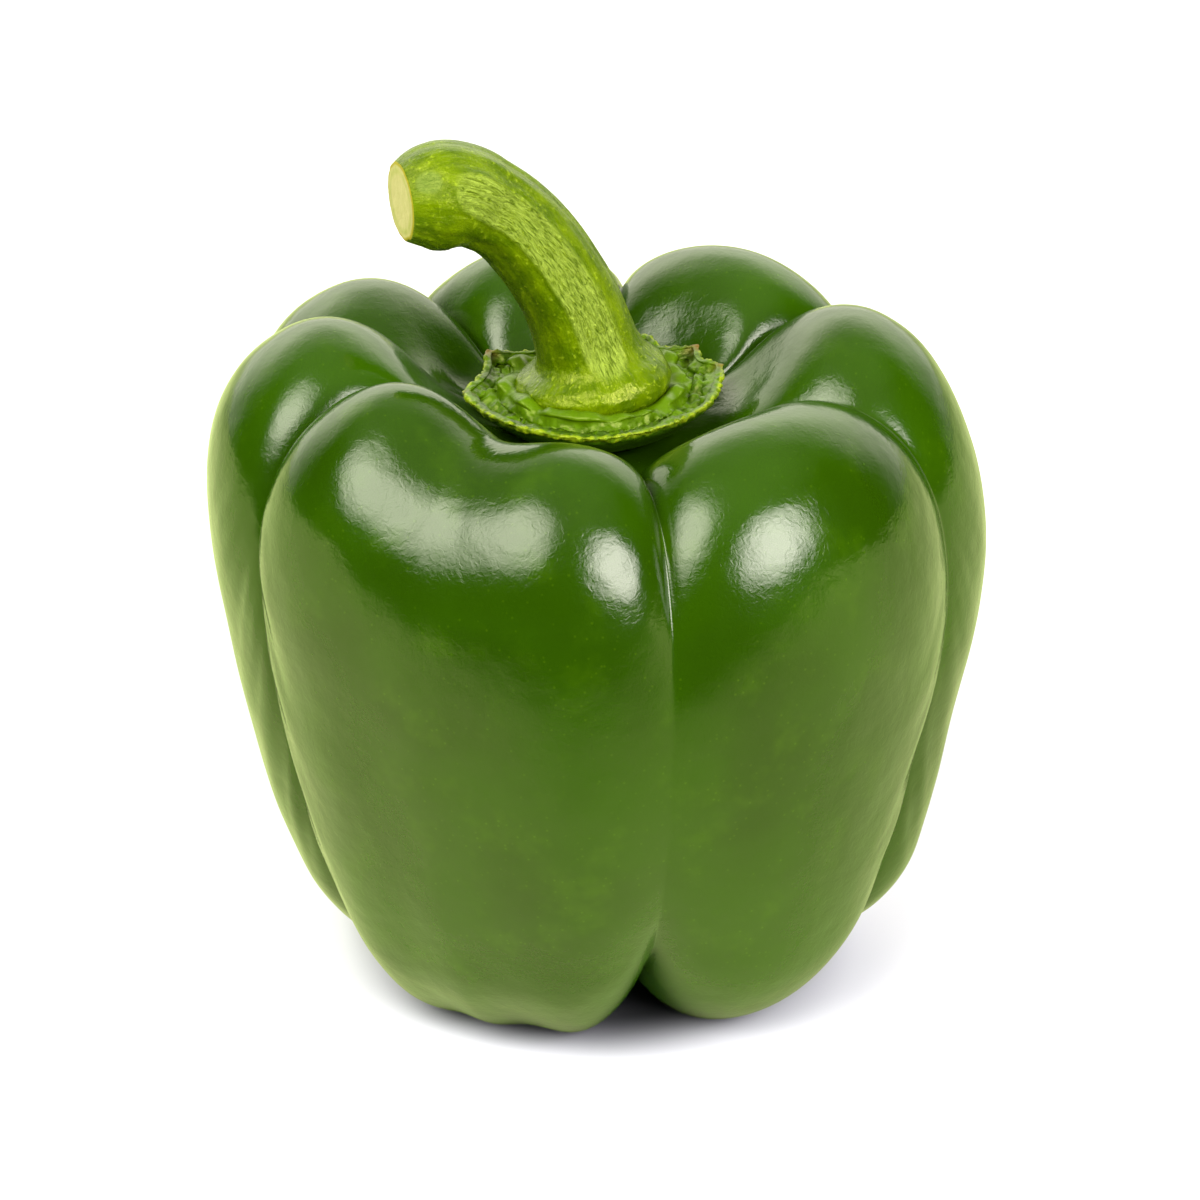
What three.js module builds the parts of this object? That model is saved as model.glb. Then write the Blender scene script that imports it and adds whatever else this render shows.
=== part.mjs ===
// A blocky bell pepper standing on the feet of its lobes, with its calyx and its bent, cut stem.
// Millimetres, +Z up, the front lobes towards -Y. The origin is at the bottom middle of the whole.

import * as THREE from 'three';
import { mergeVertices } from 'three/addons/utils/BufferGeometryUtils.js';

// Driving dimensions. Angles are in degrees round the fruit, from the front towards +X.

const fruit = { radius: 46, height: 82, columnsPerLobe: 8, rows: 64, liftFrom: 10, liftTo: 18 };

const gap = 0.3; // clearance between neighbouring solids

const calyx = {
  floorUp: 70.9, // underside of its middle, above the standing surface
  hubThickness: 3.2,
  columns: 72,
};

// The section of the calyx, a bowl: [share of the way out, height above its underside's middle].
const calyxUnderside = [
  [0, 0],
  [0.5, 0],
  [0.7, 0.6],
  [0.85, 2],
  [1, 4.3],
];
const calyxTopside = [
  [1, 4.9],
  [0.9, 3.9],
  [0.8, 3.3],
  [0.7, 3.6],
  [0.6, calyx.hubThickness],
  [0, calyx.hubThickness],
];

// The rim of the calyx, tip by tip and scallop by scallop: [angle, distance out, added height].
const calyxRim = [
  [0, 16.4, 0],
  [19, 15.7, 0],
  [42, 14.8, 0],
  [66, 14.8, 0.1],
  [88, 14.9, 0.2],
  [108, 16.2, 0.6],
  [118, 14.9, 0.3],
  [131, 16.6, 0.6],
  [144, 14.2, 0.1],
  [156, 15.7, 0.5],
  [176, 13.6, 0],
  [196, 14.6, 0.2],
  [214, 12.9, 0],
  [233, 16.6, 0.2],
  [250, 14.3, -0.5],
  [272, 15.9, -0.8],
  [288, 15, -0.7],
  [305, 15, -0.4],
  [331, 15.6, -0.1],
  [360, 16.4, 0],
];

const stem = {
  sides: 20,
  rings: 40,
  // The middle line from the calyx to the cut end.
  path: [
    [0, 0, 74],
    [-0.5, 0, 78.6],
    [-1.3, 0, 81.7],
    [-2.6, -0.1, 85.6],
    [-4.3, -0.4, 89.1],
    [-7, -0.9, 93.4],
    [-10, -1.7, 97],
    [-12.7, -2.6, 99.1],
    [-15.4, -3.8, 100.6],
    [-19, -5.2, 101],
    [-22.4, -6.5, 100.9],
  ],
  // Thickness along the path: [share of its length, radius].
  radii: [
    [0, 8.2],
    [0.03, 9.2],
    [0.06, 9.1],
    [0.1, 7.7],
    [0.14, 6.5],
    [0.2, 6],
    [0.3, 5.75],
    [0.53, 5.5],
    [0.65, 5.5],
    [0.74, 5.7],
    [0.81, 6.1],
    [0.88, 6.35],
    [0.92, 6.1],
    [0.96, 5.5],
    [1, 4.6],
  ],
};

// The outline of a lobe along its crest and of a furrow along its bottom, from the blossom end up over the
// shoulder and down to the seat of the calyx: [share of the fruit's radius, share of its height].
const crestOutline = [
  [0, 0.11],
  [0.2, 0.045],
  [0.4, -0.012],
  [0.6, 0.018],
  [0.75, 0.1],
  [0.83, 0.21],
  [0.915, 0.39],
  [0.975, 0.57],
  [1, 0.71],
  [0.985, 0.81],
  [0.93, 0.895],
  [0.83, 0.96],
  [0.69, 0.995],
  [0.56, 0.975],
  [0.46, 0.92],
  [0.38, 0.87],
  [0.3, 0.86],
  [0, 0.86],
];
const furrowOutline = [
  [0, 0.11],
  [0.19, 0.115],
  [0.38, 0.12],
  [0.58, 0.17],
  [0.73, 0.28],
  [0.82, 0.42],
  [0.88, 0.58],
  [0.89, 0.69],
  [0.85, 0.79],
  [0.73, 0.865],
  [0.58, 0.878],
  [0.46, 0.865],
  [0.38, 0.85],
  [0.3, 0.855],
  [0.22, 0.86],
  [0, 0.86],
];

// One row for each furrow, with the lobe that follows it. depth is how far the furrow cuts in at the foot,
// on the wall and at the shoulder, as a share of the way from the crest outline to the furrow outline. soft
// is its form there: 0.5 is a sharp crease, 1 a plain valley and 2 a gentle dent. reach is the lobe's own
// share of the outline's radius at the same three places. lift is how far its foot and its shoulder stand
// above the outline.
const furrows = [
  { angle: -65, depth: [1, 0.9, 1], soft: [0.5, 0.6, 0.5], reach: [0.985, 0.99, 1.02], lift: [0, 2.6] },
  { angle: -27, depth: [0.1, 0.03, 0.26], soft: [2, 2, 1.8], reach: [0.96, 1, 1], lift: [0.9, -1.2] },
  { angle: 12, depth: [0.85, 0.37, 0.7], soft: [0.7, 1.3, 0.6], reach: [1.02, 0.99, 0.99], lift: [0, -0.9] },
  { angle: 74, depth: [0.9, 0.7, 0.6], soft: [0.5, 0.7, 0.9], reach: [1.12, 1.055, 0.99], lift: [0.9, 1.3] },
  { angle: 123, depth: [0.5, 0.5, 1], soft: [0.5, 0.8, 0.5], reach: [1.02, 1, 0.99], lift: [0, 0.8] },
  { angle: 174, depth: [0.9, 0.7, 0.65], soft: [0.6, 0.8, 0.6], reach: [0.98, 0.98, 1], lift: [1.2, -0.8] },
  { angle: 217, depth: [0.9, 0.7, 1], soft: [0.5, 0.7, 0.5], reach: [1, 0.99, 1.09], lift: [0, -1] },
  { angle: 251, depth: [0.3, 0.3, 0.55], soft: [0.9, 1.3, 1], reach: [0.98, 0.99, 1.03], lift: [1, 2.5] },
];

// Small helpers.

const { degToRad, lerp, smoothstep } = THREE.MathUtils;
function surface(color, roughness) {
  return new THREE.MeshStandardMaterial({ color, roughness, metalness: 0 });
}

// A closed solid from a lathe or tube whose seam and poles still hold doubled points.
function closedSolid(geometry) {
  geometry.deleteAttribute('normal');
  geometry.deleteAttribute('uv');
  const solid = mergeVertices(geometry, 1e-3);
  solid.computeVertexNormals();
  return solid;
}

// Turns a lathe about +Y into one about +Z, with its first column at the front, -Y.
function standUp(geometry) {
  return geometry.rotateX(Math.PI / 2);
}

// The value at a place along a list of [place, value] pairs.
function along(pairs, where) {
  const next = Math.max(1, pairs.findIndex(([at]) => at >= where));
  const [from, low] = pairs[next - 1];
  const [to, high] = pairs[next];
  return lerp(low, high, smoothstep(where, from, to));
}

// The fruit: between two furrows the skin swells from the furrow outline out to the crest outline.

function outlineCurve(outline) {
  const points = outline.map(([out, up]) => new THREE.Vector3(out * fruit.radius, 0, up * fruit.height));
  return new THREE.CatmullRomCurve3(points, false, 'centripetal');
}

function skinPoint(crest, furrow, column, up) {
  const count = furrows.length;
  const lobe = Math.floor(column / fruit.columnsPerLobe) % count;
  const phase = (column % fruit.columnsPerLobe) / fruit.columnsPerLobe;
  const across = -Math.cos(phase * Math.PI); // -1 in the furrow before the lobe, 1 in the furrow after it
  const before = furrows[lobe];
  const after = furrows[(lobe + 1) % count];
  const neighbour = across < 0 ? furrows[(lobe + count - 1) % count] : after;
  const lap = lobe + 1 === count ? 360 : 0;

  const foot = 1 - smoothstep(up, 0.2, 0.42);
  const shoulder = smoothstep(up, 0.5, 0.68);
  const wall = 1 - foot - shoulder;
  const blend = ([atFoot, atWall, atShoulder]) => atFoot * foot + atWall * wall + atShoulder * shoulder;
  const lifted = ([atFoot, atShoulder]) => atFoot * foot + atShoulder * shoulder;

  const side = smoothstep(across, -1, 1);
  const angle = degToRad(lerp(before.angle, after.angle + lap, (across + 1) / 2));
  const depth = lerp(blend(before.depth), blend(after.depth), side);
  const softness = lerp(blend(before.soft), blend(after.soft), side);
  const own = 1 - across * across;
  const swell = Math.max(own, 0) ** softness;

  // Neighbouring lobes share the mean of their reach and lift in the furrow between them.
  const reach = lerp((blend(before.reach) + blend(neighbour.reach)) / 2, blend(before.reach), own);
  const lift = lerp((lifted(before.lift) + lifted(neighbour.lift)) / 2, lifted(before.lift), own);
  const outer = smoothstep(crest.x, fruit.liftFrom, fruit.liftTo);
  const place = furrow.clone().lerp(crest, 1 - depth).lerp(crest, swell);
  const out = place.x * lerp(1, reach, outer);
  const height = Math.max(place.z + lift * outer, 0); // the lowest skin presses flat where the fruit stands
  return new THREE.Vector3(out * Math.sin(angle), height, out * Math.cos(angle));
}

function fruitGeometry() {
  const crest = outlineCurve(crestOutline);
  const furrow = outlineCurve(furrowOutline);
  const shares = Array.from({ length: fruit.rows + 1 }, (unused, row) => row / fruit.rows);
  const crestPoints = shares.map((up) => crest.getPointAt(up));
  const furrowPoints = shares.map((up) => furrow.getPointAt(up));
  const profile = crestPoints.map((point) => new THREE.Vector2(point.x, point.z));
  const geometry = new THREE.LatheGeometry(profile, furrows.length * fruit.columnsPerLobe);
  const position = geometry.getAttribute('position');
  for (let index = 0; index < position.count; index++) {
    const row = index % shares.length;
    const column = Math.floor(index / shares.length);
    const place = skinPoint(crestPoints[row], furrowPoints[row], column, shares[row]);
    position.setXYZ(index, place.x, place.y, place.z);
  }
  return closedSolid(standUp(geometry));
}

// The calyx: a shallow bowl in the fruit's top hollow, its rim drawn out into teeth.

function calyxGeometry() {
  const section = [...calyxUnderside, ...calyxTopside].map(([share, up]) => new THREE.Vector2(share, up));
  const geometry = new THREE.LatheGeometry(section, calyx.columns);
  const position = geometry.getAttribute('position');
  for (let index = 0; index < position.count; index++) {
    const column = Math.floor(index / section.length);
    const { x: share, y: up } = section[index % section.length];
    const angle = (column * 360) / calyx.columns;
    const out = share * along(calyxRim.map(([at, distance]) => [at, distance]), angle);
    const rise = along(calyxRim.map(([at, distance, added]) => [at, added]), angle);
    const turn = degToRad(angle);
    const height = calyx.floorUp + up + rise * smoothstep(share, 0.6, 1);
    position.setXYZ(index, out * Math.sin(turn), height, out * Math.cos(turn));
  }
  return closedSolid(standUp(geometry));
}

// The stem: round sections carried along its bent middle line, swollen at the calyx and at the cut.

function stemGeometry() {
  const path = new THREE.CatmullRomCurve3(stem.path.map((point) => new THREE.Vector3(...point)));
  const frames = path.computeFrenetFrames(stem.rings, false);
  const geometry = new THREE.CylinderGeometry(1, 1, 1, stem.sides, stem.rings);
  const position = geometry.getAttribute('position');
  for (let index = 0; index < position.count; index++) {
    const share = 0.5 - position.getY(index); // the cylinder's top becomes the foot of the stem
    const ring = Math.round(share * stem.rings);
    const radius = along(stem.radii, share);
    const place = path.getPointAt(share);
    place.addScaledVector(frames.normals[ring], position.getX(index) * radius);
    place.addScaledVector(frames.binormals[ring], position.getZ(index) * radius);
    place.z = Math.max(place.z, calyx.floorUp + calyx.hubThickness + gap);
    position.setXYZ(index, place.x, place.y, place.z);
  }
  return closedSolid(geometry);
}

// The assembly.

function part(name, geometry, material) {
  const mesh = new THREE.Mesh(geometry, material);
  mesh.name = name;
  return mesh;
}

const pepper = new THREE.Group();
pepper.add(part('pepper_fruit', fruitGeometry(), surface(0x365a06, 0.2)));
pepper.add(part('calyx', calyxGeometry(), surface(0x4c7a0c, 0.5)));
pepper.add(part('stem', stemGeometry(), surface(0x74960a, 0.4)));

const extent = new THREE.Box3().setFromObject(pepper);
const middle = extent.getCenter(new THREE.Vector3());
pepper.position.set(-middle.x, -middle.y, -extent.min.z);

export default pepper;
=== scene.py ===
from math import cos, pi, radians, sin

import bpy
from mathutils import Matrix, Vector


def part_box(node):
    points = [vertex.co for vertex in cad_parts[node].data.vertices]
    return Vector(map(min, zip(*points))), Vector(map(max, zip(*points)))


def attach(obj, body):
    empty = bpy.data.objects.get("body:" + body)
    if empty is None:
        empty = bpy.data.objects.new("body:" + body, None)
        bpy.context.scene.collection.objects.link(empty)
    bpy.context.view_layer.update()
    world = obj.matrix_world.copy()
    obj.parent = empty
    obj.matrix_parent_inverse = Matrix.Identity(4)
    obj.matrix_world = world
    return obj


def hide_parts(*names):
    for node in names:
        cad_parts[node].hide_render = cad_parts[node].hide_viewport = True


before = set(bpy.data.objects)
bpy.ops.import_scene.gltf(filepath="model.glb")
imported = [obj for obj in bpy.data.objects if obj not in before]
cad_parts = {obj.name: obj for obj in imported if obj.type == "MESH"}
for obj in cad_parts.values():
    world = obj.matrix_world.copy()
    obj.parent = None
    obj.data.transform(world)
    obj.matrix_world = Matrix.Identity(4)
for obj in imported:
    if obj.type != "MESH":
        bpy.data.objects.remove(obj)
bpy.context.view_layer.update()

# A green bell pepper: the lobed fruit, the toothed calyx in its top hollow and the bent, cut stem.
# Lengths in the dictionaries are millimetres unless a note says otherwise.

mm = 0.001


class Field:  # a socket that can be added, multiplied and so on
    def __init__(self, nodes, socket):
        self.nodes = nodes
        self.socket = socket

    def __add__(self, other):
        return self.nodes.calc("ADD", self, other)

    def __sub__(self, other):
        return self.nodes.calc("SUBTRACT", self, other)

    def __rsub__(self, other):
        return self.nodes.calc("SUBTRACT", other, self)

    def __mul__(self, other):
        return self.nodes.calc("MULTIPLY", self, other)

    def __truediv__(self, other):
        return self.nodes.calc("DIVIDE", self, other)

    def __pow__(self, other):
        return self.nodes.calc("POWER", self, other)


class Nodes:
    def __init__(self, tree):
        self.tree = tree

    def plug(self, value, socket):
        if isinstance(value, Field):
            value = value.socket
        if isinstance(value, bpy.types.NodeSocket):
            self.tree.links.new(value, socket)
        elif value is not None:
            socket.default_value = value

    def node(self, kind, inputs=(), **settings):
        node = self.tree.nodes.new(kind)
        for key, value in settings.items():
            setattr(node, key, value)
        for key, value in inputs.items() if isinstance(inputs, dict) else enumerate(inputs):
            self.plug(value, node.inputs[key])
        return node

    def field(self, kind, inputs=(), output=0, **settings):
        return Field(self, self.node(kind, inputs, **settings).outputs[output])

    def calc(self, operation, *values):
        return self.field("ShaderNodeMath", values, operation=operation)

    def mix(self, low, high, share):
        return share * (high - low) + low

    def smooth(self, value, low, high):
        inputs = {"Value": value, "From Min": low, "From Max": high}
        return self.field("ShaderNodeMapRange", inputs, "Result", interpolation_type="SMOOTHSTEP")

    def hump(self, value, middle, reach):  # 1 at the middle, 0 at the reach either side
        return 1 - self.smooth(self.calc("ABSOLUTE", value - middle), 0.0, reach)

    def xyz(self, vector):
        return [Field(self, socket) for socket in self.node("ShaderNodeSeparateXYZ", [vector]).outputs]

    def vector(self, x, y, z):
        return self.field("ShaderNodeCombineXYZ", [x, y, z])

    def move(self, vector, amount):  # vector * amount
        inputs = {"Vector": vector, "Scale": amount}
        return self.field("ShaderNodeVectorMath", inputs, operation="SCALE")

    def join(self, one, other):  # vector + vector
        return self.field("ShaderNodeVectorMath", [one, other], operation="ADD")

    def cross(self, one, other):
        return self.field("ShaderNodeVectorMath", [one, other], operation="CROSS_PRODUCT")

    def unit(self, vector):
        return self.field("ShaderNodeVectorMath", [vector], operation="NORMALIZE")

    def sector(self, degrees, middle, reach):  # the same round a circle, in degrees
        return self.hump(self.calc("WRAP", degrees - middle, 180.0, -180.0), 0.0, reach)

    def noise(self, vector, scale, detail=2.0, roughness=0.5, distortion=0.0):  # 0.5 on average
        inputs = {"Vector": vector, "Scale": scale, "Detail": detail, "Roughness": roughness,
                  "Distortion": distortion}
        return self.field("ShaderNodeTexNoise", inputs)

    def blend(self, share, low, high):  # between two colours
        node = self.node("ShaderNodeMix", data_type="RGBA")
        sockets = [socket for socket in node.inputs if socket.type == "RGBA"]
        self.plug(share, node.inputs["Factor"])
        self.plug(low, sockets[0])
        self.plug(high, sockets[1])
        return Field(self, next(socket for socket in node.outputs if socket.type == "RGBA"))


class GeometryTree(Nodes):
    def __init__(self, name):
        super().__init__(bpy.data.node_groups.new(name, "GeometryNodeTree"))
        self.socket("Geometry", "Geometry", "INPUT")
        self.socket("Geometry", "Geometry", "OUTPUT")
        self.start = self.tree.nodes.new("NodeGroupInput")
        self.end = self.tree.nodes.new("NodeGroupOutput")

    def socket(self, name, kind, way):
        return self.tree.interface.new_socket(name=name, in_out=way, socket_type="NodeSocket" + kind)

    def input(self, name, kind="Float"):
        self.socket(name, kind, "INPUT")
        return Field(self, self.start.outputs[name])

    def geometry(self):
        return Field(self, self.start.outputs["Geometry"])

    def named(self, name):  # a value stored on the points
        return self.field("GeometryNodeInputNamedAttribute", {"Name": name}, data_type="FLOAT")

    def read(self, geometry, name, index):  # the same, at one point of another mesh
        inputs = {"Geometry": geometry, "Value": self.named(name), "Index": index}
        return self.field("GeometryNodeSampleIndex", inputs, data_type="FLOAT", domain="POINT")

    def store(self, geometry, name, value, kind="FLOAT"):
        inputs = {"Geometry": geometry, "Name": name, "Value": value}
        return self.field("GeometryNodeStoreNamedAttribute", inputs, data_type=kind, domain="POINT")

    def curve(self, guide, share):  # place and tangent at a share of the guide's length
        info = self.node("GeometryNodeObjectInfo", {"Object": guide})
        node = self.node("GeometryNodeSampleCurve", {"Curves": info.outputs["Geometry"]},
                         mode="FACTOR", use_all_curves=True)
        self.plug(share, node.inputs["Factor"])
        return Field(self, node.outputs["Position"]), Field(self, node.outputs["Tangent"])

    def outline(self, guide, share):  # distance out and height on an outline
        place, tangent = self.curve(guide, share)
        out, across, up = self.xyz(place)
        return out, up

    def sheet(self, columns, rows):  # a grid, with its two shares from 0 to 1
        inputs = {"Size X": 1.0, "Size Y": 1.0, "Vertices X": columns + 1, "Vertices Y": rows + 1}
        grid = self.field("GeometryNodeMeshGrid", inputs, "Mesh")
        x, y, z = self.xyz(self.field("GeometryNodeInputPosition"))
        return grid, x + 0.5, y + 0.5

    def place(self, geometry, position):
        return self.field("GeometryNodeSetPosition", {"Geometry": geometry, "Position": position})

    def push(self, geometry, amount):  # along the normal
        offset = self.move(self.field("GeometryNodeInputNormal"), amount)
        return self.field("GeometryNodeSetPosition", {"Geometry": geometry, "Offset": offset})

    def sew(self, geometry, levels):  # closes the seam and the poles, then makes the mesh fine
        sewn = self.field("GeometryNodeMergeByDistance", {"Geometry": geometry, "Distance": 0.02 * mm})
        return self.field("GeometryNodeSubdivisionSurface", {"Mesh": sewn, "Level": levels})

    def finish(self, geometry, material, selection=None, secondMaterial=None):
        shown = self.field("GeometryNodeSetShadeSmooth", {"Geometry": geometry})
        real = self.field("GeometryNodeRealizeInstances", {"Geometry": shown})
        dressed = self.field("GeometryNodeSetMaterial", {"Geometry": real, "Material": material})
        if secondMaterial is not None:
            inputs = {"Geometry": dressed, "Selection": selection, "Material": secondMaterial}
            dressed = self.field("GeometryNodeSetMaterial", inputs)
        self.plug(dressed, self.end.inputs[0])


class MaterialTree(Nodes):
    def __init__(self, name):
        self.material = bpy.data.materials.new(name)
        self.material.use_nodes = True
        super().__init__(self.material.node_tree)
        self.shader = self.tree.nodes["Principled BSDF"]
        self.place = self.field("ShaderNodeTexCoord", output="Object")

    def attribute(self, name, output="Fac"):
        return self.field("ShaderNodeAttribute", output=output, attribute_name=name)

    def bump(self, height, distance, after=None):
        inputs = {"Height": height, "Distance": distance * mm, "Strength": 1.0, "Normal": after}
        return self.field("ShaderNodeBump", inputs)

    def finish(self, colour, roughness, normal, **values):
        self.plug(colour, self.shader.inputs["Base Color"])
        self.plug(roughness, self.shader.inputs["Roughness"])
        self.plug(normal, self.shader.inputs["Normal"])
        for name, value in values.items():
            self.shader.inputs[name.replace("_", " ")].default_value = value
        return self.material


def linear(red, green, blue):  # a colour as seen on a screen, 0 to 255
    def convert(value):
        share = value / 255
        return share / 12.92 if share <= 0.04045 else ((share + 0.055) / 1.055) ** 2.4
    return convert(red), convert(green), convert(blue), 1.0


def setInputs(modifier, **values):  # by the socket's identifier
    for item in modifier.node_group.interface.items_tree:
        if item.in_out == "INPUT" and item.name in values:
            modifier[item.identifier] = values[item.name]


# a bezier curve through points; a fourth value of 0 makes a sharp corner there
def curveObject(name, points, closed=False):
    curve = bpy.data.curves.new(name, "CURVE")
    curve.dimensions = "3D"
    curve.resolution_u = 24
    spline = curve.splines.new("BEZIER")
    spline.use_cyclic_u = closed
    spline.bezier_points.add(len(points) - 1)
    for knot, point in zip(spline.bezier_points, points):
        knot.co = Vector(point[:3]) * mm
        handle = "VECTOR" if len(point) > 3 else "AUTO"
        knot.handle_left_type = handle
        knot.handle_right_type = handle
    obj = bpy.data.objects.new(name, curve)
    bpy.context.scene.collection.objects.link(obj)
    return obj


# a mesh of loose points that carries one named value in each column
def pointObject(name, columns):
    mesh = bpy.data.meshes.new(name)
    length = len(next(iter(columns.values())))
    mesh.from_pydata([(0, 0, 0)] * length, [], [])
    for key, values in columns.items():
        mesh.attributes.new(key, "FLOAT", "POINT").data.foreach_set("value", values)
    obj = bpy.data.objects.new(name, mesh)
    bpy.context.scene.collection.objects.link(obj)
    return obj


# runs a geometry tree on start and keeps the result as a plain mesh
def grow(name, start, tree, helpers, **values):
    modifier = start.modifiers.new(name, "NODES")
    modifier.node_group = tree.tree
    setInputs(modifier, **values)
    evaluated = start.evaluated_get(bpy.context.evaluated_depsgraph_get())
    mesh = bpy.data.meshes.new_from_object(evaluated)
    piece = bpy.data.objects.new(name, mesh)
    bpy.context.scene.collection.objects.link(piece)
    for helper in [start, *helpers]:
        bpy.data.objects.remove(helper)
    return piece


skinLook = {
    "darkGreen": linear(30, 56, 0),
    "midGreen": linear(36, 66, 0),
    "yellowGreen": linear(50, 80, 0),
    "speck": linear(76, 108, 6),
    "gloss": (1, 1, 0.8, 1),
    "roughness": (0.11, 0.19),
    "broadScale": 38.0,  # scales are in waves to the metre; this is the slow change of green
    "blotchScale": 160.0,
    "blotchShare": 0.45,
    "speckScale": 900.0,
    "speckShare": 0.2,
    "crinkleScale": 1400.0,
    "crinkleDepth": 0.03,
    "swellScale": 260.0,
    "swellDepth": 0.12,
}


def skinMaterial():
    look = skinLook
    paint = MaterialTree("fruitSkin")
    broad = paint.noise(paint.place, look["broadScale"], 3.0, 0.55)
    blotch = paint.noise(paint.place, look["blotchScale"], 3.0, 0.6)
    colour = paint.blend(paint.smooth(broad, 0.35, 0.65), look["darkGreen"], look["midGreen"])
    blotches = paint.smooth(blotch, 0.5, 0.8) * look["blotchShare"]
    colour = paint.blend(blotches, colour, look["yellowGreen"])
    inputs = {"Vector": paint.place, "Scale": look["speckScale"]}
    dots = paint.field("ShaderNodeTexVoronoi", inputs, "Distance")
    speck = (1 - paint.smooth(dots, 0.05, 0.2)) * paint.smooth(blotch, 0.35, 0.55)
    colour = paint.blend(speck * look["speckShare"], colour, look["speck"])
    crinkle = paint.noise(paint.place, look["crinkleScale"], 2.0, 0.5, 0.8)
    swell = paint.noise(paint.place, look["swellScale"], 1.0)
    normal = paint.bump(crinkle, look["crinkleDepth"])
    normal = paint.bump(swell, look["swellDepth"], normal)
    roughness = paint.mix(*look["roughness"], broad)
    return paint.finish(colour, roughness, normal, IOR=1.45, Specular_Tint=look["gloss"])


fruit = {
    "radius": 46,
    "height": 82,
    "columnsPerLobe": 12,
    "rows": 60,
    "footEnd": (0.2, 0.42),  # along the outline, as shares of its length
    "shoulderStart": (0.5, 0.68),
    "hollowEdge": (10, 18),  # inside it the lobes are alike
    "dents": 0.5,  # broad unevenness of the skin
    "dentScale": 42.0,
    "wrinkles": 0.95,  # slanting wrinkles beside the deep furrows
    "wrinkleSlant": (3.6, 95.0),  # waves outwards and upwards
    "wrinkleBottom": (8, 26),
    "wrinkleTop": (56, 74),
}

# out and up as shares of the radius and the height, from the blossom end over the shoulder to the calyx
crestOutline = [
    (0, 0.11), (0.2, 0.045), (0.4, -0.012), (0.6, 0.018), (0.75, 0.1), (0.83, 0.21), (0.915, 0.39),
    (0.975, 0.57), (1, 0.71), (0.985, 0.81), (0.93, 0.895), (0.83, 0.96), (0.69, 0.995), (0.56, 0.975),
    (0.46, 0.92), (0.38, 0.87), (0.3, 0.86), (0, 0.86),
]
furrowOutline = [
    (0, 0.11), (0.19, 0.115), (0.38, 0.12), (0.58, 0.17), (0.73, 0.28), (0.82, 0.42), (0.88, 0.58),
    (0.89, 0.69), (0.85, 0.79), (0.73, 0.865), (0.58, 0.878), (0.46, 0.865), (0.38, 0.85), (0.3, 0.855),
    (0.22, 0.86), (0, 0.86),
]

# one row for each furrow and the lobe after it, from the front towards the right, in degrees
# depth and soft: at the foot, on the wall, at the shoulder; soft 0.5 is a crease, 2 a gentle dent
# reach: how far the lobe stands out at those places; lift: how high its foot and its shoulder stand
furrows = [
    dict(angle=-65, depth=(1, 0.9, 1), soft=(0.5, 0.42, 0.5), reach=(0.985, 0.99, 1.02), lift=(0, 2.6)),
    dict(angle=-27, depth=(0.02, 0.03, 0.26), soft=(2, 2, 1.8), reach=(0.96, 1, 1), lift=(0.4, -1.2)),
    dict(angle=12, depth=(0.85, 0.37, 0.7), soft=(0.7, 1.3, 0.6), reach=(1.02, 0.99, 0.99), lift=(0, -0.9)),
    dict(angle=74, depth=(0.9, 0.7, 0.6), soft=(0.5, 0.7, 0.9), reach=(1.12, 1.055, 0.99), lift=(0.9, 1.3)),
    dict(angle=123, depth=(0.5, 0.5, 1), soft=(0.5, 0.8, 0.5), reach=(1.02, 1, 0.99), lift=(0, 0.8)),
    dict(angle=174, depth=(0.9, 0.7, 0.65), soft=(0.6, 0.8, 0.6), reach=(0.98, 0.98, 1), lift=(1.2, -0.8)),
    dict(angle=217, depth=(0.9, 0.7, 1), soft=(0.5, 0.7, 0.5), reach=(1, 0.99, 1.09), lift=(0, -1.0)),
    dict(angle=251, depth=(0.3, 0.3, 0.55), soft=(0.9, 1.3, 1), reach=(0.985, 0.993, 1.02), lift=(1, 2.5)),
]


def furrowPoints():
    columns = {"angle": [radians(row["angle"]) for row in furrows]}
    for key in ("depth", "soft", "reach"):
        for index, level in enumerate(("Foot", "Wall", "Shoulder")):
            columns[key + level] = [row[key][index] for row in furrows]
    for index, level in enumerate(("Foot", "Shoulder")):
        columns["lift" + level] = [row["lift"][index] * mm for row in furrows]
    return pointObject("furrows", columns)


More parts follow.
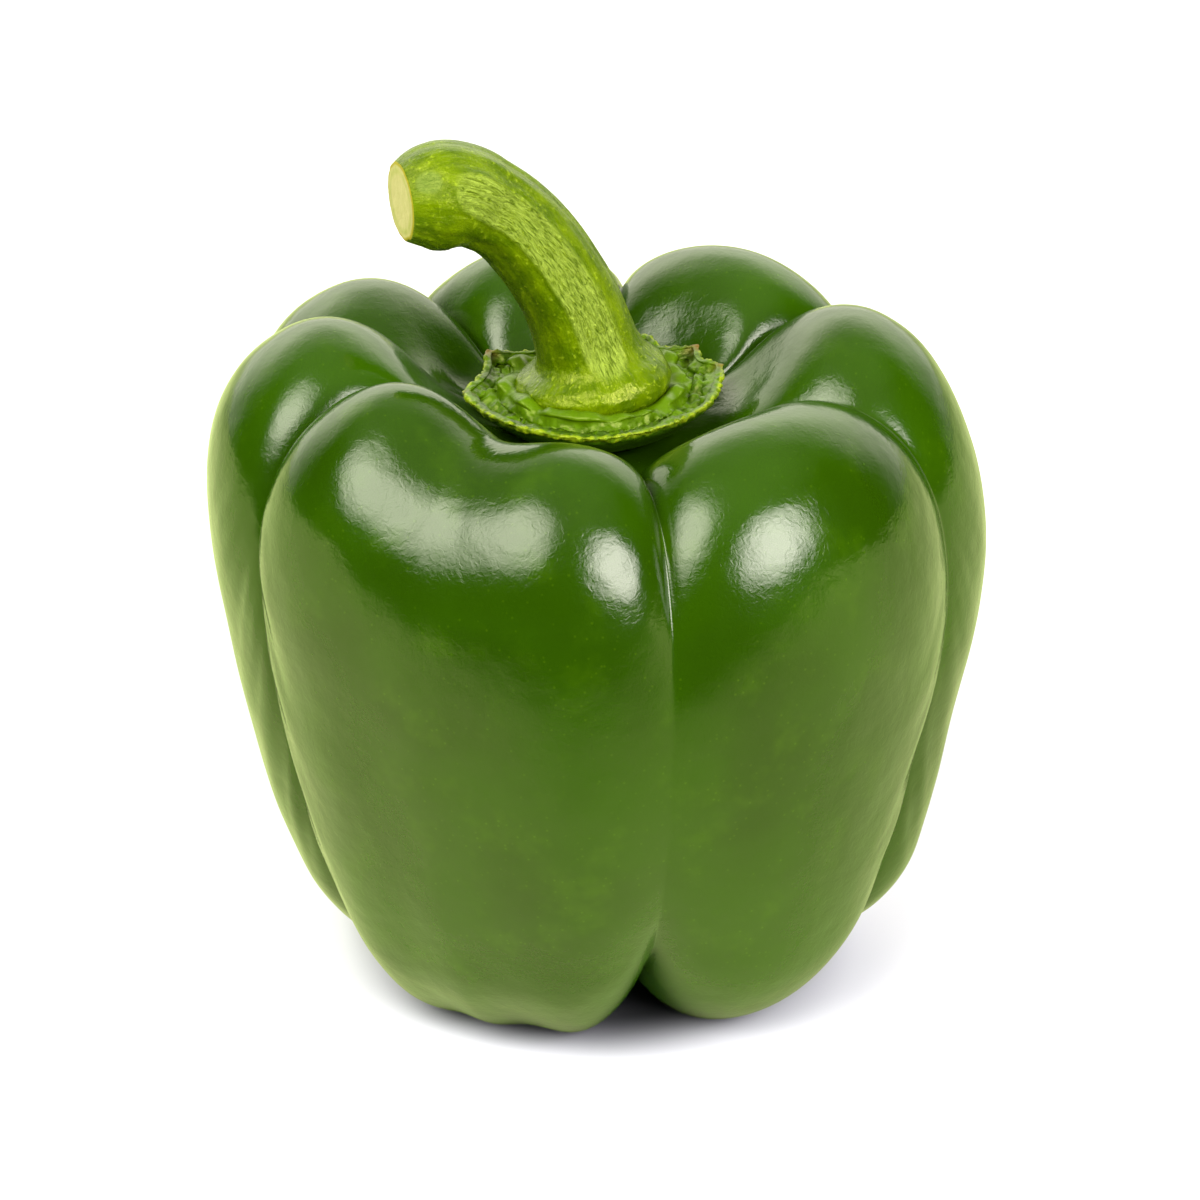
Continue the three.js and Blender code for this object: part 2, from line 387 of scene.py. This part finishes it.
def fruitTree(crest, furrow):
    tree = GeometryTree("lobedFruit")
    columnsPerLobe = tree.input("Columns per lobe", "Int")
    rows = tree.input("Rows", "Int")
    dents = tree.input("Dents")
    wrinkles = tree.input("Wrinkles")
    material = tree.input("Material", "Material")
    points = tree.geometry()
    count = tree.field("GeometryNodeAttributeDomainSize", [points], "Point Count", component="MESH")
    grid, around, up = tree.sheet(count * columnsPerLobe, rows)

    turn = around * count
    lobe = tree.calc("MINIMUM", tree.calc("FLOOR", turn + 0.0001), count - 1)
    nextLobe = tree.calc("MODULO", lobe + 1, count)
    lastLobe = tree.calc("MODULO", lobe + count - 1, count)
    across = tree.calc("COSINE", (turn - lobe) * pi) * -1.0  # -1 in the furrow before, 1 in the one after
    side = tree.smooth(across, -1.0, 1.0)
    neighbour = tree.mix(lastLobe, nextLobe, tree.calc("GREATER_THAN", across, 0.0))
    lap = tree.calc("GREATER_THAN", lobe + 1.5, count) * (2 * pi)

    foot = 1 - tree.smooth(up, *fruit["footEnd"])
    shoulder = tree.smooth(up, *fruit["shoulderStart"])
    wall = 1 - foot - shoulder

    def level(key, index):
        value = tree.read(points, key + "Foot", index) * foot
        value = value + tree.read(points, key + "Wall", index) * wall
        return value + tree.read(points, key + "Shoulder", index) * shoulder

    def lifted(index):
        value = tree.read(points, "liftFoot", index) * foot
        return value + tree.read(points, "liftShoulder", index) * shoulder

    # between two furrows the skin swells from the furrow outline out to the crest outline
    firstAngle = tree.read(points, "angle", lobe)
    angle = tree.mix(firstAngle, tree.read(points, "angle", nextLobe) + lap, (across + 1) * 0.5)
    depth = tree.mix(level("depth", lobe), level("depth", nextLobe), side)
    softness = tree.mix(level("soft", lobe), level("soft", nextLobe), side)
    own = 1 - across * across
    cut = depth * (1 - tree.calc("MAXIMUM", own, 0.0) ** softness)
    crestOut, crestUp = tree.outline(crest, up)
    furrowOut, furrowUp = tree.outline(furrow, up)
    outer = tree.smooth(crestOut, *[edge * mm for edge in fruit["hollowEdge"]])
    reach = tree.mix((level("reach", lobe) + level("reach", neighbour)) * 0.5, level("reach", lobe), own)
    lift = tree.mix((lifted(lobe) + lifted(neighbour)) * 0.5, lifted(lobe), own) * outer
    out = tree.mix(crestOut, furrowOut, cut) * tree.mix(1.0, reach, outer)
    rise = tree.mix(crestUp, furrowUp, cut) + lift
    place = tree.vector(out * tree.calc("SINE", angle), out * tree.calc("COSINE", angle) * -1.0, rise)

    skin = tree.store(grid, "crease", tree.calc("ABSOLUTE", across))
    skin = tree.store(skin, "deep", depth)
    skin = tree.sew(tree.place(skin, place), 2)

    # broad dents, then wrinkles that run down and away from the deep furrows
    here = tree.field("GeometryNodeInputPosition")
    x, y, z = tree.xyz(here)
    crease = tree.named("crease")
    dent = (tree.noise(here, fruit["dentScale"], 1.0) - 0.5) * dents
    away = tree.calc("SQRT", tree.calc("MAXIMUM", 1 - crease, 0.0))  # from the nearest furrow
    wavesOut, wavesUp = fruit["wrinkleSlant"]
    slant = away * wavesOut + z * wavesUp
    ripple = tree.noise(tree.vector(slant, z * 30.0, 0.0), 1.0, 1.0) - 0.5
    besideFurrow = tree.hump(away, 0.5, 0.45) * tree.smooth(tree.named("deep"), 0.5, 0.85)
    aboveFoot = tree.smooth(z, *[level * mm for level in fruit["wrinkleBottom"]])
    onWall = aboveFoot * (1 - tree.smooth(z, *[level * mm for level in fruit["wrinkleTop"]]))
    skin = tree.push(skin, dent + ripple * besideFurrow * onWall * wrinkles)
    x, y, z = tree.xyz(tree.field("GeometryNodeInputPosition"))
    skin = tree.place(skin, tree.vector(x, y, tree.calc("MAXIMUM", z, 0.0)))  # stands flat on its feet
    tree.finish(skin, material)
    return tree


def makeFruit():
    radius = fruit["radius"]
    height = fruit["height"]
    crest = curveObject("crest", [(out * radius, 0, up * height) for out, up in crestOutline])
    furrow = curveObject("furrow", [(out * radius, 0, up * height) for out, up in furrowOutline])
    tree = fruitTree(crest, furrow)
    values = {"Columns per lobe": fruit["columnsPerLobe"], "Rows": fruit["rows"],
              "Dents": fruit["dents"] * mm * 2, "Wrinkles": fruit["wrinkles"] * mm * 2,
              "Material": skinMaterial()}
    return grow("fruitSkin", furrowPoints(), tree, [crest, furrow], **values)


calyx = {
    "columns": 200,
    "rows": 60,
    "base": 70.9,  # height of its underside above the table
    "lumps": 2.6,  # on the slope inside the rim
    "lumpScale": 380.0,
    "knuckles": 2.8,  # on the ring round the stem
    "knuckleScale": 230.0,
    "beads": 0.6,  # along the edge
    "beadScale": 1100.0,
    "tipStart": (15.5, 16.3),  # the longest teeth are dry beyond this distance out
    "tipBehind": (-3, 0),
}

# its rim, as angle in degrees from the front towards the right, distance out and height added there
calyxRim = [
    (0, 16.4, 0), (19, 15.7, 0), (42, 14.8, 0), (66, 14.8, 0.1), (88, 14.9, 0.2), (108, 16.2, 0.6, 0),
    (118, 14.9, 0.3), (131, 16.6, 0.6, 0), (144, 14.2, 0.1), (156, 15.7, 0.5, 0), (176, 13.6, 0),
    (196, 14.6, 0.2, 0), (214, 12.9, 0), (233, 16.6, 0.2, 0), (250, 14.3, -0.5), (272, 15.9, -0.8, 0),
    (288, 15.0, -0.7), (305, 15.0, -0.4), (331, 15.6, -0.1),
]

# its section, as share of the way out and height: along the underside, round the edge, back over the top
calyxSection = [
    (0, 0), (0.5, 0), (0.7, 0.6), (0.85, 2), (0.95, 3.3), (0.995, 4.2), (1, 4.5), (0.985, 4.7), (0.95, 4.4),
    (0.88, 3.5), (0.8, 3), (0.74, 3.3), (0.68, 3.8), (0.61, 4.1), (0.54, 3.6), (0.3, 3.2), (0, 3.2),
]


def calyxTree(rim, section):
    tree = GeometryTree("toothedCalyx")
    columns = tree.input("Columns", "Int")
    rows = tree.input("Rows", "Int")
    base = tree.input("Base")
    lumps = tree.input("Lumps")
    knuckles = tree.input("Knuckles")
    beads = tree.input("Beads")
    material = tree.input("Material", "Material")
    grid, around, along = tree.sheet(columns, rows)
    rimX, rimY, rimZ = tree.xyz(tree.curve(rim, around)[0])
    share, level = tree.outline(section, along)
    share = share * (1 / mm)
    bend = tree.smooth(share, 0.6, 1.0)
    place = tree.vector(rimX * share, rimY * share, base + level + rimZ * bend)
    topside = tree.calc("GREATER_THAN", along, 0.5)
    tip = tree.smooth(rimX * rimX + rimY * rimY, *[(edge * mm) ** 2 for edge in calyx["tipStart"]])
    tip = tip * tree.smooth(rimY, *[edge * mm for edge in calyx["tipBehind"]])
    leaf = tree.store(grid, "out", share)
    leaf = tree.store(leaf, "topside", topside)
    leaf = tree.store(leaf, "tip", tip * tree.smooth(share, 0.88, 1.0) * topside)
    leaf = tree.sew(tree.place(leaf, place), 1)
    here = tree.field("GeometryNodeInputPosition")
    out = tree.named("out")
    top = tree.named("topside")
    lump = (tree.noise(here, calyx["lumpScale"], 2.0, 0.6) - 0.42) * tree.hump(out, 0.82, 0.16)
    knuckle = (tree.noise(here, calyx["knuckleScale"], 1.0) - 0.3) * tree.hump(out, 0.66, 0.1)
    bead = (tree.noise(here, calyx["beadScale"], 1.0) - 0.5) * tree.smooth(out, 0.93, 1.0)
    leaf = tree.push(leaf, lump * lumps * top + knuckle * knuckles * top + bead * beads)
    tree.finish(leaf, material)
    return tree


calyxLook = {
    "flesh": linear(72, 104, 0),
    "deepFlesh": linear(42, 70, 0),
    "underside": linear(48, 80, 0),
    "knuckle": linear(72, 102, 0),
    "edge": linear(124, 142, 16),
    "brown": linear(104, 80, 34),
    "gloss": (1, 1, 0.3, 1),
    "roughness": (0.22, 0.5),
    "grainScale": 500.0,
    "grainDepth": 0.2,
    "beadScale": 1300.0,
}


def calyxMaterial():
    look = calyxLook
    paint = MaterialTree("calyxFlesh")
    out = paint.attribute("out")
    top = paint.attribute("topside")
    grain = paint.noise(paint.place, look["grainScale"], 4.0, 0.65)
    colour = paint.blend(paint.smooth(grain, 0.38, 0.6), look["deepFlesh"], look["flesh"])
    colour = paint.blend(paint.hump(out, 0.64, 0.14), colour, look["knuckle"])
    colour = paint.blend(top, look["underside"], colour)
    beads = paint.smooth(paint.noise(paint.place, look["beadScale"], 1.0), 0.35, 0.6)
    onEdge = paint.smooth(out, 0.975, 0.995)
    colour = paint.blend(onEdge * paint.mix(0.2, 0.9, beads), colour, look["edge"])
    colour = paint.blend(paint.attribute("tip"), colour, look["brown"])
    normal = paint.bump(grain, look["grainDepth"])
    roughness = paint.mix(*look["roughness"], grain)
    return paint.finish(colour, roughness, normal, IOR=1.45, Specular_Tint=look["gloss"])


def makeCalyx():
    points = []
    for angle, out, up, *corner in calyxRim:
        turn = radians(angle)
        points.append((out * sin(turn), -out * cos(turn), up, *corner))
    rim = curveObject("calyxRim", points, closed=True)
    section = curveObject("calyxSection", [(out, 0, up) for out, up in calyxSection])
    tree = calyxTree(rim, section)
    start = pointObject("calyxStart", {"place": [0.0]})
    values = {"Columns": calyx["columns"], "Rows": calyx["rows"], "Base": calyx["base"] * mm,
              "Lumps": calyx["lumps"] * mm * 2, "Knuckles": calyx["knuckles"] * mm * 2,
              "Beads": calyx["beads"] * mm * 2, "Material": calyxMaterial()}
    return grow("calyxLeaf", start, tree, [rim, section], **values)


stem = {
    "sides": 120,
    "rings": 180,
    "ribs": 0.3,
    "crinkles": 0.14,
    "bulbTop": (3, 8),  # along the stem
    "endStart": (29, 36),  # where it swells again, along the stem
    "facetEnd": (32, 36),  # of the crinkled flat at the front right, along the stem
    "facetTurn": 23.0,  # its middle and half its width, in degrees
    "facetReach": 34.0,
    "dent": dict(along=37.6, length=2.4, turn=38.0, reach=26.0, depth=0.5),  # beside the cut
    "cutEdge": (4.55, 4.75),  # distance out
    "cutThickness": 0.35,
}

# its middle line from the calyx to the cut end
stemPath = [
    (0, 0, 74), (-0.5, 0, 78.6), (-1.3, 0, 81.7), (-2.6, -0.1, 85.6), (-4.3, -0.4, 89.1), (-7, -0.9, 93.4),
    (-10, -1.7, 97), (-12.7, -2.6, 99.1), (-15.4, -3.8, 100.6), (-19, -5.2, 101), (-22.4, -6.5, 100.9),
]

# its outline, as distance out and along: the bulb, the shaft, and the cut face back to the middle
stemOutline = [
    (0, 0), (8.4, 0, 0, 0), (9.2, 1.4), (9.2, 2.6), (8.5, 3.7), (7.2, 4.7), (6.4, 5.8), (6.05, 8),
    (5.75, 11.9), (5.6, 15.8), (5.5, 20.9), (5.5, 25.8), (5.7, 29.3), (6.1, 32.2), (6.35, 34.8),
    (6.1, 36.6), (5.5, 38.1), (4.8, 39.4), (4.6, 39.7), (2.5, 39.7), (0, 39.7),
]

# lengthwise flats and grooves of the shaft, in degrees from the front towards the right
# depth is a share of the thickness there
stemFlutes = [
    dict(turn=23, reach=36, depth=0.1),
    dict(turn=62, reach=13, depth=0.025),
    dict(turn=92, reach=14, depth=0.035),
    dict(turn=128, reach=26, depth=0.05),
    dict(turn=-168, reach=30, depth=0.05),
    dict(turn=-118, reach=22, depth=0.04),
    dict(turn=-68, reach=20, depth=0.03),
    dict(turn=-34, reach=14, depth=0.02),
]


def stemTree(path, outline):
    tree = GeometryTree("bentStem")
    sides = tree.input("Sides", "Int")
    rings = tree.input("Rings", "Int")
    length = tree.input("Length")
    ribs = tree.input("Ribs")
    crinkles = tree.input("Crinkles")
    material = tree.input("Material", "Material")
    cutMaterial = tree.input("Cut material", "Material")
    facetTurn = tree.input("Facet turn")
    facetReach = tree.input("Facet reach")
    grid, around, share = tree.sheet(sides, rings)
    out, along = tree.outline(outline, share)
    middle, tangent = tree.curve(path, along / length)
    sideways = tree.unit(tree.cross(tangent, (0.0, -1.0, 0.0)))
    front = tree.cross(sideways, tangent)
    degrees = around * 360.0 - 180.0  # from the front towards the right
    turn = around * (2 * pi) - pi
    cosine = tree.calc("COSINE", turn)
    sine = tree.calc("SINE", turn)
    grain = tree.vector(cosine, sine, along * 100.0)
    onBulb, onEnd, pastFacet = [tree.smooth(along, *[edge * mm for edge in stem[key]])
                                for key in ("bulbTop", "endStart", "facetEnd")]
    onBulb = 1 - onBulb
    flute = 0.0
    for row in stemFlutes:
        flute = tree.sector(degrees, row["turn"], row["reach"]) * row["depth"] + flute
    flute = flute * (1 - onBulb * 0.9) * (1 - onEnd * 0.75)
    ribWave = tree.noise(tree.vector(cosine * 2.6, sine * 2.6, along * 30.0), 1.0, 1.0) - 0.5
    fineWave = tree.noise(tree.vector(cosine * 11.0, sine * 11.0, along * 160.0), 1.0, 2.0) - 0.5
    pleat = tree.noise(tree.vector(cosine * 3.0, sine * 3.0, along * 1500.0), 1.0, 1.0) - 0.5
    facet = tree.sector(degrees, facetTurn, facetReach) * (1 - onBulb) * (1 - pastFacet)
    edge = tree.smooth(facet, 0.0, 0.25) * (1 - tree.smooth(facet, 0.25, 0.5))
    relief = ribWave * ribs * (1 - onBulb) + fineWave * crinkles + edge * crinkles * 0.8
    relief = relief + pleat * onBulb * tree.smooth(along, 0.5 * mm, 2 * mm) * crinkles * 2.5
    hollow = stem["dent"]
    dent = tree.hump(along, hollow["along"] * mm, hollow["length"] * mm)
    dent = dent * tree.sector(degrees, hollow["turn"], hollow["reach"])
    onShaft = tree.smooth(out, 3 * mm, 5 * mm)
    radius = out * (1 - flute * onShaft) + (relief - dent * hollow["depth"] * mm) * onShaft
    rim = tree.join(tree.move(front, cosine * radius), tree.move(sideways, sine * radius))
    face = 1 - tree.smooth(out, *[edge * mm for edge in stem["cutEdge"]])
    face = face * tree.calc("GREATER_THAN", share, 0.5)
    face = face * tree.calc("GREATER_THAN", along, length - stem["cutThickness"] * mm)
    bark = tree.store(grid, "grain", grain, "FLOAT_VECTOR")
    bark = tree.store(bark, "facet", facet)
    bark = tree.store(bark, "dent", dent)
    bark = tree.store(bark, "face", face)
    bark = tree.store(bark, "out", out)
    bark = tree.sew(tree.place(bark, tree.join(middle, rim)), 1)
    tree.finish(bark, material, tree.calc("GREATER_THAN", tree.named("face"), 0.5), cutMaterial)
    return tree


stemLook = {
    "green": linear(62, 86, 0),
    "yellow": linear(88, 110, 0),
    "dark": linear(38, 62, 0),
    # painted sheen: the facet's paler colour is partly its own waxy tone and partly the right lamp's
    # reflection painted in
    "paintedFacetSheen": linear(124, 144, 48),
    # painted highlight: on the stem these bright dots are painted glints
    "speck": linear(136, 156, 24),
    # painted highlight: the grey-green patch on the dent beside the cut
    "paintedDentHighlight": linear(84, 106, 36),
    "gloss": (1, 1, 0.2, 1),
    "pith": linear(184, 172, 122),
    "ring": linear(140, 146, 50),
    "rind": linear(150, 138, 10),
    "streakScale": 3.0,
    "fineScale": 16.0,
    "lineScale": (18.0, 7.0),  # round the stem and along it
    "lineDepth": 0.32,
    "lineOutsideFacet": 0.25,  # share of the depth left there
    "speckleScale": 1500.0,
    "speckleDepth": 0.1,
    "roughness": 0.28,
    "bulbRoughness": 0.2,
    "facetRoughness": 0.4,
    "pithScale": 700.0,
}


def stemMaterial():
    look = stemLook
    paint = MaterialTree("stemSkin")
    grain = paint.attribute("grain", "Vector")
    facet = paint.attribute("facet")
    dent = paint.attribute("dent")
    streak = paint.noise(grain, look["streakScale"], 4.0, 0.6)
    fine = paint.noise(grain, look["fineScale"], 3.0, 0.6)
    cosine, sine, along = paint.xyz(grain)
    around, lengthwise = look["lineScale"]
    stretched = paint.vector(cosine * around, sine * around, along * lengthwise)
    lines = paint.noise(stretched, 1.0, 4.0, 0.65, 1.2)
    onFacet = paint.smooth(facet, 0.1, 0.35)
    colour = paint.blend(paint.smooth(streak, 0.35, 0.65), look["green"], look["yellow"])
    speckleBumpsAndGlints = paint.noise(paint.place, look["speckleScale"], 2.0, 0.6)
    darkShare = paint.smooth(lines, 0.5, 0.7) * paint.mix(0.2, 0.5, onFacet)
    colour = paint.blend(darkShare, colour, look["dark"])
    # painted glints: bright dots of painted highlight; the same noise below makes real small bumps
    colour = paint.blend(paint.smooth(speckleBumpsAndGlints, 0.58, 0.72) * 0.5, colour, look["speck"])
    # painted sheen on the facet, partly its own paler tone
    colour = paint.blend(onFacet * paint.smooth(lines, 0.66, 0.4), colour, look["paintedFacetSheen"])
    # painted highlight on the dent beside the cut
    colour = paint.blend(paint.smooth(dent, 0.3, 0.6) * 0.8, colour, look["paintedDentHighlight"])
    normal = paint.bump(speckleBumpsAndGlints, look["speckleDepth"])
    relief = (lines - 0.5) * paint.mix(look["lineOutsideFacet"], 1.0, onFacet)
    normal = paint.bump(relief, look["lineDepth"], normal)
    onBulb = 1 - paint.smooth(along, 0.4, 0.7)
    roughness = paint.mix(look["roughness"], look["bulbRoughness"], onBulb)
    roughness = paint.mix(roughness, look["facetRoughness"], onFacet) + (fine - 0.5) * 0.15
    return paint.finish(colour, roughness, normal, IOR=1.45, Specular_Tint=look["gloss"])


def cutMaterial():
    look = stemLook
    paint = MaterialTree("stemCut")
    out = paint.attribute("out")
    grain = paint.noise(paint.place, look["pithScale"], 3.0, 0.6)
    colour = paint.blend(grain * 0.4, look["pith"], look["ring"])
    colour = paint.blend(paint.hump(out, 3.6 * mm, 0.7 * mm) * grain, colour, look["ring"])
    colour = paint.blend(paint.smooth(out, 4.1 * mm, 4.4 * mm), colour, look["rind"])
    return paint.finish(colour, paint.mix(0.5, 0.8, grain), paint.bump(grain, 0.2), IOR=1.4)


def makeStem():
    path = curveObject("stemPath", stemPath)
    outline = curveObject("stemOutline", [(out, 0, up, *corner[1:]) for out, up, *corner in stemOutline])
    tree = stemTree(path, outline)
    start = pointObject("stemStart", {"place": [0.0]})
    values = {"Sides": stem["sides"], "Rings": stem["rings"], "Length": stemOutline[-1][1] * mm,
              "Ribs": stem["ribs"] * mm * 2, "Crinkles": stem["crinkles"] * mm * 2,
              "Facet turn": stem["facetTurn"], "Facet reach": stem["facetReach"],
              "Material": stemMaterial(), "Cut material": cutMaterial()}
    return grow("stemStalk", start, tree, [path, outline], **values)


def meshBox(obj):
    places = [vertex.co for vertex in obj.data.vertices]
    low = Vector([min(place[axis] for place in places) for axis in range(3)])
    high = Vector([max(place[axis] for place in places) for axis in range(3)])
    return low, high


fruitSkin = makeFruit()
print("fruit:", len(fruitSkin.data.polygons), "faces")
calyxLeaf = makeCalyx()
print("calyx:", len(calyxLeaf.data.polygons), "faces")
stemStalk = makeStem()
print("stem:", len(stemStalk.data.polygons), "faces")

wantedLow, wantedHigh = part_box("pepper_fruit")
madeLow, madeHigh = meshBox(fruitSkin)
shift = (wantedLow + wantedHigh - madeLow - madeHigh) / 2  # the made fruit's middle onto the frame's
shift.z = wantedLow.z
pieces = [(fruitSkin, "pepper_fruit", "fruit_skin"), (calyxLeaf, "calyx", "calyx_green"),
          (stemStalk, "stem", "stem_green")]
for piece, node, slot in pieces:
    for vertex in piece.data.vertices:
        vertex.co += shift
    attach(piece, "root")
    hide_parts(node)


studio = {
    "floor": 3.0,  # metres, as all the lengths here
    "floorPale": (0.77, 0.77, 0.77, 1),
    "floorWhite": (0.8, 0.8, 0.8, 1),
    "floorBounce": (0.72, 0.82, 0.34, 1),
    "floorDark": (0.01, 0.01, 0.01, 1),
    "paintedShadowReach": (0.018, 0.033),  # painted shadow: the floor is painted darkest inside this distance from the middle, under the fruit
    # how dark the painted shadow under the fruit is
    "paintedShadowShare": 0.93,
    "tableFront": (-0.17, -0.03),  # light bounces off the floor only behind these lines
    "tableSpread": 0.45,
    "tableSide": (-0.02, 0.08),
    "tableRight": 0.72,  # share of the bounce left on the right
    "distance": 2.0,  # of the soft boxes from the fruit
    "leftBox": dict(turn=-41, rise=46, size=2.0, glow=12.2, colour=(1, 1, 1)),
    "rightBox": dict(turn=43, rise=28, size=1.7, glow=19.6, colour=(1, 0.97, 1.08)),
    "rings": 5,  # each soft box fades towards its edge in so many steps
    "fade": 0.14,
    "backdrop": 1.7,
    "backdropStart": (0.25, 0.38),  # how far behind it begins, at the left and at the right
    "backdropLeft": 1.4,  # times as bright there
    "ceiling": 0.45,
    "ceilingStart": (0.65, 0.95),
    "room": 0.004,
    "roomColour": (1, 1, 0.82, 1),
    "white": (1, 1, 1, 1),
    "whiteGlow": 1.6,
}
view = {
    "elevation": 25,  # degrees above the table
    "distance": 0.6,  # metres, as the two below
    "across": 0.145,  # width of the view at the aim
    "aim": (0.0006, -0.0007, 0.0475),
}


def makeFloor():
    half = studio["floor"]
    corners = [(-half, -half, 0), (half, -half, 0), (half, half, 0), (-half, half, 0)]
    mesh = bpy.data.meshes.new("floor")
    mesh.from_pydata(corners, [], [(0, 1, 2, 3)])
    paint = MaterialTree("floorWhite")
    x, y, z = paint.xyz(paint.place)
    seen = paint.field("ShaderNodeLightPath", output="Is Camera Ray")
    edge = y + paint.calc("ABSOLUTE", x) * studio["tableSpread"]
    right = paint.smooth(x, *studio["tableSide"])
    white = paint.smooth(edge, *studio["tableFront"]) * paint.mix(1.0, studio["tableRight"], right)
    bounce = paint.blend(white, studio["floorDark"], studio["floorBounce"])
    pale = paint.blend(paint.noise(paint.place, 40.0), studio["floorPale"], studio["floorWhite"])
    out = paint.calc("SQRT", x * x + y * y)
    # painted shadow: near the middle the floor colour turns to floorDark, a shadow painted under the fruit
    paintedShadow = (1 - paint.smooth(out, *studio["paintedShadowReach"])) * studio["paintedShadowShare"]
    colour = paint.blend(paintedShadow, paint.blend(seen, bounce, pale), studio["floorDark"])
    mesh.materials.append(paint.finish(colour, 0.9, None, IOR=1.01))
    floor = bpy.data.objects.new("floor", mesh)
    bpy.context.scene.collection.objects.link(floor)


def direction(turn, rise):  # turn in degrees from the front towards the right
    turn = radians(turn)
    rise = radians(rise)
    return Vector((sin(turn) * cos(rise), -cos(turn) * cos(rise), sin(rise)))


def makeLamp(name, away, distance, size, glow, colour):  # a round lamp, its glow as the eye sees it
    lamp = bpy.data.lights.new(name, "AREA")
    lamp.shape = "DISK"
    lamp.size = size
    lamp.energy = glow * pi * pi * size * size / 4
    lamp.color = colour
    obj = bpy.data.objects.new(name, lamp)
    bpy.context.scene.collection.objects.link(obj)
    obj.location = away * distance
    obj.rotation_euler = away.to_track_quat("Z", "Y").to_euler()


def makeSoftBox(name, turn, rise, size, glow, colour):  # brightest in its middle
    away = direction(turn, rise)
    for ring in range(studio["rings"]):
        distance = studio["distance"] * (1 - 0.002 * ring)
        ringSize = size * (1 - studio["fade"] * ring)
        makeLamp(f"{name}{ring}", away, distance, ringSize, glow / studio["rings"], colour)


def makeSky():  # a white backdrop behind, a dark room in front
    world = bpy.data.worlds.new("sky")
    bpy.context.scene.world = world
    world.use_nodes = True
    sky = Nodes(world.node_tree)
    x, y, z = sky.xyz(sky.field("ShaderNodeTexCoord", output="Generated"))
    seen = sky.field("ShaderNodeLightPath", output="Is Camera Ray")
    level = sky.calc("SQRT", 1.0001 - z * z)  # length of the level part of the direction
    start = sky.mix(*studio["backdropStart"], sky.smooth(x, 0.0, 0.5))
    overhead = sky.smooth(z, *studio["ceilingStart"])
    height = sky.hump(z, 0.45, 0.3) * 0.6 - overhead * 0.7 + 1.0
    height = height * sky.mix(1.0, studio["backdropLeft"], sky.smooth(x, -0.1, -0.6))
    behind = sky.smooth(y / level, start, 1.0) * height * studio["backdrop"]
    bright = sky.calc("MAXIMUM", behind, overhead * studio["ceiling"]) + studio["room"]
    background = world.node_tree.nodes["Background"]
    sky.plug(sky.blend(seen, studio["roomColour"], studio["white"]), background.inputs["Color"])
    strength = sky.calc("MAXIMUM", bright, seen * studio["whiteGlow"])
    sky.plug(strength, background.inputs["Strength"])


def makeCamera():
    back = direction(0, view["elevation"])
    lens = bpy.data.cameras.new("camera")
    lens.sensor_width = 36
    lens.lens = lens.sensor_width * view["distance"] / view["across"]
    lens.clip_end = 20
    camera = bpy.data.objects.new("camera", lens)
    bpy.context.scene.collection.objects.link(camera)
    camera.location = Vector(view["aim"]) + shift + back * view["distance"]
    camera.rotation_euler = back.to_track_quat("Z", "Y").to_euler()
    bpy.context.scene.camera = camera


makeFloor()
for name in ("leftBox", "rightBox"):
    makeSoftBox(name, **studio[name])
makeSky()
makeCamera()
bpy.context.scene.view_settings.view_transform = "Standard"
print("studio: ready")
